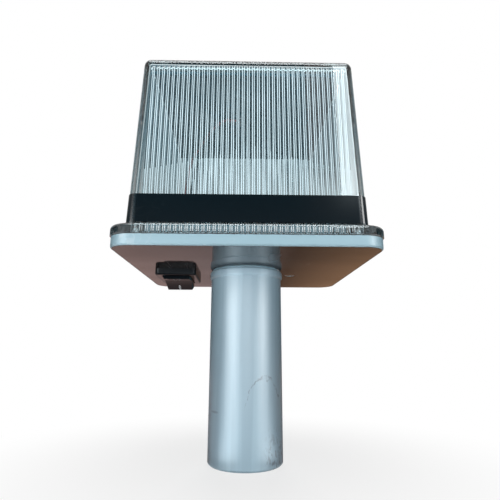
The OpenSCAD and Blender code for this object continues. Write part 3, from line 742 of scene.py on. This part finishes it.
tree, given = new_maker("countersunk_screw", {
    "Places": "", "Head Radius": 1.9 * mm, "Shank Radius": 1.25 * mm, "Land": 0.15 * mm,
    "Length": 10.1 * mm, "Slot Length": 2.2 * mm, "Slot Width": 0.6 * mm, "Slot Depth": 0.6 * mm,
})
run = minus(given["Head Radius"], given["Shank Radius"])
neck = calc("ADD", given["Land"], run)
turned = []
for low, foot_r, top_r, deep in (
    (0.0, given["Head Radius"], given["Head Radius"], given["Land"]),
    (given["Land"], given["Head Radius"], given["Shank Radius"], run),
    (neck, given["Shank Radius"], given["Shank Radius"], minus(given["Length"], neck)),
):
    step = put(tree, "GeometryNodeMeshCone", {
        "Vertices": 32, "Radius Bottom": foot_r, "Radius Top": top_r, "Depth": deep,
    })
    turned.append(moved(step, Translation=combined(tree, z=low)))
cutter = box(tree, given["Slot Length"], given["Slot Width"], times(given["Slot Depth"], 2.0))
crossed = [moved(cutter, Rotation=(0, 0, math.radians(turn))) for turn in (45, 135)]
screw = cut(fused(*turned), *crossed)
finish_maker(set_out(screw, given["Places"]), given)
screws = grow("fixing_screws", at_screws("board_screws"), tree, Finish=bright_steel)
fit(eased(screws, 0.05 * mm), "screw_steel", "board_screws")

nylon = moulded("natural_nylon", (0.78, 0.75, 0.66), 200.0, 0.15, 4000.0, 0.1, 0.4)
tree, given = new_maker("ring_on_screw", {
    "Places": "", "Sides": 48, "Radius": 2.6 * mm, "Bore": 1.35 * mm, "Height": 4 * mm,
})
rim, bore = circle(tree, given["Sides"], given["Radius"]), circle(tree, 32, given["Bore"])
ring = prism(joined("GeometryNodeJoinGeometry", rim, bore), given["Height"])
finish_maker(set_out(ring, given["Places"]), given)
for name, node, slot, finish, sides, radius, bore, ease in (
    ("fixing_spacers", "board_spacers", "connector_nylon", nylon, 48, 2.6 * mm, 1.35 * mm, 0.15 * mm),
    ("fixing_nuts", "board_nuts", "screw_steel", bright_steel, 6, 2.9 * mm, 1.30 * mm, 0.2 * mm),
):
    low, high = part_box(node)
    sizes = {"Sides": sides, "Radius": radius, "Bore": bore, "Height": high.z - low.z}
    rings = grow(name, at_screws(node), tree, Finish=finish, **sizes)
    fit(eased(rings, ease), slot, node)


# Control board. Glass-fibre board under green solder mask, with copper tracks showing through it,
# a leaded charge chip, a drum coil, a sleeved capacitor and four shrouded lead headers.
board_finish, tree = new_finish("green_solder_mask")
turns = add(tree, "ShaderNodeTexVoronoi", {
    "Vector": coords(tree), "Scale": 330.0, "Randomness": 0.55,
}, distance="CHEBYCHEV").outputs["Distance"]
tracks = ramp(calc("ABSOLUTE", minus(turns, 0.42)), 0.07, 0.03)
tone = plastic(tree, (0.018, 0.12, 0.055), 150.0, 0.2, 4000.0)
clothe(
    tinted(times(tracks, 0.6), tone["Color"], (0.06, 0.30, 0.11)),
    Roughness=0.3, Coat_Weight=0.4, Normal=bump(tracks, 0.02 * mm, 0.4),
)
remade("control_board", "circuit_board", board_finish, ease=0.1 * mm)
board_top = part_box("control_board")[1].z


def dark_case(name, colour, roughness):
    """A dark moulded, sintered or cut piece with a fine grain."""
    return moulded(name, colour, 400.0, 0.5, 7000.0, 0.2, roughness, 0.01 * mm)


chip_front, chip_rear, leg_top = 18 * mm, 22 * mm, board_top + 0.55 * mm
chip_black = dark_case("chip_epoxy", (0.016, 0.016, 0.017), 0.45)
chip = remade("charge_chip", "chip_black", chip_black, bright_steel, ease=0.06 * mm)
finish_faces(chip, 1, lambda face: face.center.z < leg_top and not chip_front < face.center.y < chip_rear)

winding_low, winding_high = board_top + 0.85 * mm, board_top + 2.35 * mm
ferrite = dark_case("ferrite_drum", (0.045, 0.04, 0.038), 0.5)
copper = metal_finish("enamelled_copper", (0.60, 0.26, 0.12), 0.25)
drum = remade("charge_coil", "ferrite", ferrite, copper, ease=0.12 * mm)
finish_faces(drum, 1, lambda face: winding_low < face.center.z < winding_high and abs(face.normal.z) < 0.5)

stripe_edge = 12.8 * mm
sleeve, tree = new_finish("capacitor_sleeve")
across = split(coords(tree))["X"]
pale_side = ramp(across, stripe_edge + 0.1 * mm, stripe_edge - 0.1 * mm)
tone = plastic(tree, (0.02, 0.025, 0.06), 200.0, 0.3, 5000.0)
clothe(tinted(pale_side, tone["Color"], (0.45, 0.47, 0.5)), Roughness=0.3)
capacitor = remade("board_capacitor", "capacitor_can", sleeve, bright_steel, ease=0.25 * mm, steps=3)
capacitor_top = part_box("board_capacitor")[1].z
finish_faces(capacitor, 1, lambda face: face.center.z > capacitor_top - 0.05 * mm)
remade("lead_connectors", "connector_nylon", nylon, ease=0.12 * mm)


# Rechargeable cell. A crimped steel can in a grey shrink sleeve that stops at the positive cap,
# with a nickel strip welded to each end for its lead.
cell_sleeve, tree = new_finish("grey_shrink_sleeve")
tone = plastic(tree, (0.20, 0.24, 0.26), 90.0, 0.2, 3000.0)
creases = bump(noise(coords(tree, (0.3, 1, 1)), 500.0, 3.0), 0.02 * mm, 0.3)
clothe(tone["Color"], Roughness=0.28, Coat_Weight=0.3, Normal=creases)
cell = remade("battery_cell", "cell_can", cell_sleeve, bright_steel, ease=0.15 * mm)
cell_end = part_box("battery_cell")[1].x
cap_from, base_to = cell_end - 1.05 * mm, 0.05 * mm - cell_end
finish_faces(cell, 1, lambda face: face.center.x > cap_from or face.center.x < base_to)
nickel = metal_finish("nickel_strip", (0.62, 0.60, 0.55), 0.28)
remade("cell_tabs", "nickel_strip", nickel, ease=0.05 * mm)


# Light post. A square white moulding plugged into the tray, with a white diode board on each of its
# four sides and two surface diodes on each board: yellow phosphor gel in a white frame.
def white_plastic(name, colour, roughness):
    return moulded(name, colour, 160.0, 0.1, 4000.0, 0.1, roughness)


post_white = white_plastic("white_post_plastic", (0.78, 0.78, 0.77), 0.45)
remade("led_post", "white_moulding", post_white, ease=0.25 * mm)
board_white = white_plastic("white_solder_mask", (0.82, 0.82, 0.81), 0.3)
remade("led_boards", "white_board", board_white, ease=0.08 * mm)
phosphor, tree = new_finish("phosphor_gel")
gel = tinted(noise(coords(tree), 2600.0, 3.0), (0.78, 0.50, 0.03), (0.88, 0.66, 0.10))
clothe(gel, Roughness=0.22, Coat_Weight=0.5)


def row_of(tree, count, start=(0, 0, 0), offset=(0, 0, 0)):
    inputs = {"Count": count, "Start Location": start, "Offset": offset}
    return put(tree, "GeometryNodeMeshLine", inputs, mode="OFFSET", count_mode="TOTAL")


def on_four_sides(pieces):
    """The same pieces on each side of a square, turned a quarter further each time."""
    tree = pieces.id_data
    quarter = times(put(tree, "GeometryNodeInputIndex"), math.pi / 2)
    return set_out(pieces, row_of(tree, 4), Rotation=combined(tree, z=quarter))


diode_out, diode_t, well_deep = 5.3 * mm, 1.4 * mm, 0.3 * mm
tree, given = new_maker("diodes_round_post", {
    "Out": diode_out, "Width": 5 * mm, "Thickness": diode_t, "Well Radius": 1.9 * mm,
    "Well Depth": well_deep, "First Height": 14.5 * mm, "Spacing": 7 * mm,
})
middle = combined(tree, scaled(given["Thickness"], 0.5, given["Out"]))
block = moved(box(tree, given["Thickness"], given["Width"], given["Width"]), Translation=middle)
drill = put(tree, "GeometryNodeMeshCylinder", {
    "Vertices": 32, "Radius": given["Well Radius"], "Depth": times(given["Well Depth"], 2.0),
})
front = combined(tree, calc("ADD", given["Out"], given["Thickness"]))
diode = cut(block, moved(drill, Translation=front, Rotation=(0, math.pi / 2, 0)))
pair = row_of(tree, 2, combined(tree, z=given["First Height"]), combined(tree, z=given["Spacing"]))
finish_maker(on_four_sides(set_out(diode, pair)), given)
diode_white = white_plastic("diode_frame", (0.84, 0.84, 0.82), 0.35)
diodes = grow("surface_diodes", seed_of(), tree, Finish=diode_white)
post_foot = Vector((0, -5 * mm, underside_z))
diodes.data.transform(Matrix.Translation(post_foot))
fit(eased(diodes, 0.1 * mm), "led_phosphor", "led_chips", phosphor)
well_floor = diode_out + diode_t - well_deep


def in_well(face):
    out = max(abs(face.center.x - post_foot.x), abs(face.center.y - post_foot.y))
    return max(abs(face.normal.x), abs(face.normal.y)) > 0.99 and abs(out - well_floor) < 0.03 * mm


finish_faces(diodes, 1, in_well)


# Leads. Eight thin stranded wires in smooth coloured sheaths, from the control board to the panel,
# the cell, the switch and the light post. Each follows its own bends between two soldered ends.
tree, given = new_maker("sheathed_lead", {
    "Route": "", "Sheath Radius": 0.6 * mm, "Points per Bend": 8, "Sides": 14,
})
course = put(tree, "GeometryNodeMeshToCurve", {"Mesh": given["Route"]})
bends = put(tree, "GeometryNodeCurveSplineType", {"Curve": course}, spline_type="CATMULL_ROM")
inputs = {"Geometry": bends, "Resolution": given["Points per Bend"]}
finer = put(tree, "GeometryNodeSetSplineResolution", inputs)
finish_maker(swept(finer, given["Sides"], given["Sheath Radius"]), given)

sheaths = {
    colour: moulded(colour + "_sheath", shade, 250.0, 0.25, 4000.0, 0.12, 0.32)
    for colour, shade in (
        ("red", (0.22, 0.045, 0.04)), ("black", (0.014, 0.014, 0.015)), ("yellow", (0.58, 0.42, 0.02)),
    )
}
for node, colour, route in (
    ("panel_lead_red", "red", [
        (-8.6, 21, 10.5), (-12, 21, 10.5), (-19, 24, 12), (-26, 28, 18), (-29, 30.5, 30), (-29, 30.5, 46),
        (-27, 28, 56.5), (-25, 24.6, 60.1), (-22, 20, 62), (-18.3, 11.7, 62.5), (-14, 2, 62.5),
        (-9, -4, 62.5), (-6, -4, 62.5), (-4, -4, 62.5),
    ]),
    ("panel_lead_black", "black", [
        (-8.6, 23, 10.5), (-12, 23, 10.5), (-18, 26.5, 12.5), (-24, 30.5, 19), (-26.5, 32, 30),
        (-26.5, 32, 46), (-24.5, 30, 56.5), (-22.5, 26.3, 60.1), (-19.5, 21.5, 62), (-15.7, 13.4, 62.5),
        (-11.5, 4.5, 62.5), (-8.5, -1.5, 62.5), (-6, -1.5, 62.5), (-4, -1.5, 62.5),
    ]),
    ("cell_lead_red", "red", [
        (32.7, -12.9, 12.2), (32.7, -10, 12.2), (29, -3, 12), (20, -1, 11.5), (13, -2, 10.5),
        (11.5, 1.5, 10.5), (11.5, 4.1, 10.5),
    ]),
    ("cell_lead_black", "black", [
        (-32.7, -12.9, 12.2), (-32.7, -11, 12.2), (-29, -9, 11), (-20, -10.5, 9), (-8, -13, 8), (4, -13, 8),
        (9, -9, 8.5), (9.5, -2, 10), (9.5, 1, 10.5), (9.5, 4.1, 10.5),
    ]),
    ("switch_lead_feed", "red", [
        (-26.6, 4, 19), (-26.6, 4, 21), (-24, 6, 23.5), (-17, 11, 19), (-13, 14, 12), (-11, 14, 10.5),
        (-8.6, 14, 10.5),
    ]),
    ("switch_lead_return", "yellow", [
        (-26.6, 9.4, 19), (-26.6, 9.4, 21), (-24.5, 11, 24), (-18, 15, 20), (-14, 16, 12.5),
        (-11, 16, 10.5), (-8.6, 16, 10.5),
    ]),
    ("led_lead_red", "red", [
        (-8.6, 7, 10.5), (-11, 7, 10.5), (-14, 3, 10), (-12, -3, 9.5), (-8, -4, 9), (-5.3, -4, 9),
    ]),
    ("led_lead_black", "black", [
        (-8.6, 9, 10.5), (-11.5, 9, 10.5), (-16, 3, 11), (-13.5, -5, 10), (-8, -6, 9), (-5.3, -6, 9),
    ]),
):
    points = [Vector((x * mm, y * mm, underside_z + z * mm)) for x, y, z in route]
    seed = seed_of(points, [(i, i + 1) for i in range(len(points) - 1)])
    fit(grow(node + "_sheath", seed, tree, Finish=sheaths[colour]), "lead_" + colour, node)


# Seal. A soft dark rubber strip cut to the tray's rim. It is pressed flat between the rim and the
# cover's flange, and only its edge shows.
rubber = dark_case("seal_rubber", (0.055, 0.06, 0.064), 0.6)
remade("cover_seal", "seal_rubber", rubber, ease=0.08 * mm)


# Solar panel. Twelve silicon strips on a dark laminate board under clear cast resin, stuck to the
# inside of the roof by a frame of foam tape. The board's back shows through the cover from below.
back_finish, tree = new_finish("dark_laminate")
tone = plastic(tree, (0.003, 0.034, 0.050), 60.0, 0.3, 3000.0)
place = split(coords(tree))
threads = (calc("SINE", times(place[axis], 9000.0)) for axis in "XY")
weave = bump(times(*threads), 0.02 * mm, 0.3)
clothe(tone["Color"], Roughness=0.42, Specular_IOR_Level=0.12, Normal=weave)
solder = metal_finish("solder_blob", (0.62, 0.63, 0.64), 0.25)
backing = remade("panel_backing", "panel_board", back_finish, solder, ease=0.15 * mm)
solder_top = underside_z + 63.1 * mm
finish_faces(backing, 1, lambda face: face.center.z < solder_top)

strip_len = 59 * mm
strip_pitch = strip_len / 12
finger_pitch = 1.6 * mm


def off_line(along, pitch):
    """How far a place is from the nearest of a set of even lines, as a share of their pitch."""
    part = calc("FRACT", calc("DIVIDE", along, pitch))
    return calc("ABSOLUTE", minus(part, 0.5))


silicon, tree = new_finish("blue_silicon")
place = split(coords(tree))
fingers = ramp(off_line(place["X"], finger_pitch), 0.07, 0.03)
buses = ramp(off_line(place["Y"], strip_pitch), 0.09, 0.06)
silver = calc("MAXIMUM", fingers, buses)
crystal = add(tree, "ShaderNodeTexVoronoi", {"Vector": coords(tree), "Scale": 260.0}).outputs["Color"]
facet = tinted(split(crystal)["X"], (0.006, 0.010, 0.045), (0.02, 0.035, 0.12))
clothe(tinted(silver, facet, (0.55, 0.57, 0.6)), Roughness=0.25, Metallic=times(silver, 0.8))

tree, given = new_maker("cell_strips", {
    "Count": 12, "Length": strip_len, "Pitch": strip_pitch, "Gap": 0.5 * mm, "Thickness": 0.3 * mm,
    "Level": 0.0,
})
outline = put(tree, "GeometryNodeCurvePrimitiveQuadrilateral", {
    "Width": given["Length"], "Height": minus(given["Pitch"], given["Gap"]),
}, mode="RECTANGLE")
strip = prism(outline, given["Thickness"])


def row_start(count, pitch):
    """Where a row that is even about the middle begins."""
    return times(scaled(count, -0.5, 0.5), pitch)


first = combined(tree, y=row_start(given["Count"], given["Pitch"]), z=given["Level"])
row = row_of(tree, given["Count"], first, combined(tree, y=given["Pitch"]))
finish_maker(set_out(strip, row), given)
cells = grow("silicon_strips", seed_of(), tree, Level=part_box("solar_cells")[0].z, Finish=silicon)
fit(eased(cells, 0.04 * mm), "silicon", "solar_cells")


def clear_finish(name, colour, shade, roughness, ior, scratches=None):
    """Clear plastic or resin that tints what is behind it and lets the lamps' light through."""
    finish, tree = new_finish(name)
    haze = roughness
    if scratches:
        haze = scaled(scratches_on(tree, *scratches), 0.12, roughness)
    clear = put(tree, "ShaderNodeBsdfPrincipled", {
        "Base Color": plastic(tree, colour, 35.0, 0.06, 3000.0)["Color"],
        "Roughness": haze, "IOR": ior, "Transmission Weight": 1.0,
    })
    through = put(tree, "ShaderNodeBsdfTransparent", {"Color": shade})
    lit = add(tree, "ShaderNodeLightPath").outputs["Is Shadow Ray"]
    end_finish(mixed(lit, clear, through))
    return finish


resin = clear_finish("cast_resin", (0.86, 0.9, 0.95), (0.9, 0.93, 0.96), 0.03, 1.5)
remade("panel_resin", "clear_resin", resin)
foam = white_plastic("white_foam", (0.78, 0.78, 0.74), 0.8)
remade("panel_pads", "foam_pad", foam, ease=0.1 * mm)


# Clear cover. One drafted box moulded in clear plastic, open below, with a foot flange that sits on
# the seal. Rows of fine upright ribs on the inside of all four walls spread the light.
foot_z = underside_z + 2.3 * mm
flange_z = underside_z + 3.9 * mm
flange_top = underside_z + 6.9 * mm
rib_top = underside_z + 65.9 * mm
roof_z = underside_z + 68.2 * mm
wall = 2.0 * mm
corner, least_corner = 2.6 * mm, 0.4 * mm
fillet = 1 * mm
draft = math.radians(1.6)
wall_foot_half = 37.7 * mm


def wall_half(z):
    return wall_foot_half - (z - flange_top) * math.tan(draft)


def square_ring(shape, half, radius, z, steps=12):
    """A closed ring of points round a square with round corners."""
    ring = []
    for quarter in range(4):
        turn = Matrix.Rotation(math.radians(90 * quarter), 3, "Z")
        for step in range(steps + 1):
            angle = math.radians(90 * step / steps)
            x, y = (half - radius + radius * part for part in (math.cos(angle), math.sin(angle)))
            ring.append(shape.verts.new(turn @ Vector((x, y, z))))
    return ring


def skin_rings(shape, rings):
    for lower, upper in zip(rings, rings[1:]):
        for i in range(len(lower)):
            j = (i + 1) % len(lower)
            shape.faces.new((lower[i], lower[j], upper[j], upper[i]))


def rounded_edge(top, edge, steps):
    """How far each step of a round edge is pulled in, and its height."""
    for step in range(steps + 1):
        angle = math.radians(90 * step / steps)
        yield edge * (1 - math.cos(angle)), top - edge + edge * math.sin(angle)


def rounded_rise(top, edge, inset):
    """Widths, corner radii and heights of a wall's last rise, round the edge and onto the roof."""
    for pull, z in rounded_edge(top, edge, 8):
        yield wall_half(z) - inset - pull, max(corner - inset - pull, least_corner), z


flange_half, flange_corner, flange_round = 42.3 * mm, 7 * mm, 1.2 * mm
outside = [
    (wall_half(foot_z), corner, foot_z), (wall_half(flange_z), corner, flange_z),
    (flange_half, flange_corner, flange_z),
]
outside.extend(
    (flange_half - pull, flange_corner - pull, z) for pull, z in rounded_edge(flange_top, flange_round, 6)
)
outside.append((wall_half(flange_top) + fillet, corner + fillet, flange_top))
outside.append((wall_half(flange_top + fillet), corner, flange_top + fillet))
outside.extend(rounded_rise(roof_z, corner, 0))
inside = [(wall_half(foot_z) - wall, corner - wall, foot_z)]
inside.extend(rounded_rise(roof_z - wall, corner - wall, wall))

shape = bmesh.new()
outer_rings = [square_ring(shape, *size) for size in outside]
inner_rings = [square_ring(shape, *size) for size in inside]
skin_rings(shape, outer_rings)
skin_rings(shape, inner_rings[::-1])
skin_rings(shape, [inner_rings[0], outer_rings[0]])
shape.faces.new(outer_rings[-1])
shape.faces.new(inner_rings[-1][::-1])
bmesh.ops.recalc_face_normals(shape, faces=shape.faces)
cover_shell = bpy.data.meshes.new("cover_shell")
shape.to_mesh(cover_shell)
shape.free()

tree, given = new_maker("ribbed_walls", {
    "Shell": "", "Pitch": 1.72 * mm, "Count": 39, "Rib Height": 0.9 * mm, "Foot Width": 1.204 * mm,
    "Tip Width": 0.378 * mm, "Root": 0.3 * mm, "Wall Face": 0.0, "Rib Foot": 0.0, "Rise": 0.06,
    "Bow": 0.8 * mm, "Flat Half": 0.03, "Draft": draft,
})
deep = calc("ADD", given["Rib Height"], given["Root"])
flare = calc("DIVIDE", minus(given["Foot Width"], given["Tip Width"]), given["Rib Height"])
outline = put(tree, "GeometryNodeCurvePrimitiveQuadrilateral", {
    "Height": deep, "Bottom Width": scaled(flare, given["Root"], given["Foot Width"]),
    "Top Width": given["Tip Width"], "Offset": 0.0,
}, mode="TRAPEZOID")
sunk = combined(tree, y=minus(times(deep, 0.5), given["Root"]))
rib = prism(moved(outline, Translation=sunk), 1.0)

left = row_start(given["Count"], given["Pitch"])
first = combined(tree, left, given["Wall Face"], given["Rib Foot"])
row = row_of(tree, given["Count"], first, combined(tree, given["Pitch"]))
spot = split(put(tree, "GeometryNodeInputPosition"))
aside = calc("ABSOLUTE", spot["X"])
share = calc("DIVIDE", aside, given["Flat Half"])
bowed = minus(given["Rise"], times(share, share, given["Bow"]))
taken = scaled(given["Foot Width"], 0.5, aside)
spare = minus(given["Flat Half"], taken)
clipped = calc("DIVIDE", spare, calc("TANGENT", given["Draft"]))
tall = combined(tree, 1.0, 1.0, calc("MINIMUM", bowed, clipped))
leaning = combined(tree, times(given["Draft"], -1.0))
ribs = on_four_sides(set_out(rib, row, Rotation=leaning, Scale=tall))
loose = put(tree, "GeometryNodeRealizeInstances", {"Geometry": ribs})
finish_maker(fused(given["Shell"], loose), given)

cover_finish = clear_finish(
    "clear_cover_plastic", (0.82, 0.92, 0.95), (0.80, 0.9, 0.93), 0.015, 1.49, (40.0, 0.6)
)
cover = grow(
    "ribbed_cover", cover_shell, tree, Wall_Face=wall - wall_half(foot_z), Rib_Foot=foot_z,
    Rise=rib_top - foot_z, Flat_Half=wall_half(foot_z) - corner, Finish=cover_finish,
)
fit(eased(cover, angle=25), "clear_plastic", "clear_cover")


# Band. A strip of glossy black self-adhesive film wrapped round the foot of the cover. It shines most
# where it is drawn tight, round the corners and along both sides.
film, tree = new_finish("glossy_black_film")
tone = plastic(tree, (0.004, 0.009, 0.013), 60.0, 0.4, 3000.0)
scratches = times(scratches_on(tree, 70.0, 0.12), 0.2)
side = calc("ABSOLUTE", split(coords(tree))["X"])
bend_from, bend_to = 34.4 * mm, 35.2 * mm
past_bend = ramp(side, bend_from, bend_to)
clothe(
    tinted(scratches, tone["Color"], (0.2, 0.22, 0.23)),
    Roughness=scaled(tone["Grain"], 0.06, 0.12), Specular_IOR_Level=0.06,
    Coat_Weight=times(past_bend, 0.7), Coat_Roughness=0.15,
    Normal=bump(noise(coords(tree), 160.0), 0.05 * mm, 0.12),
)
band = remade("label_band", "black_vinyl", film)
lit_by_strips.objects.link(band)
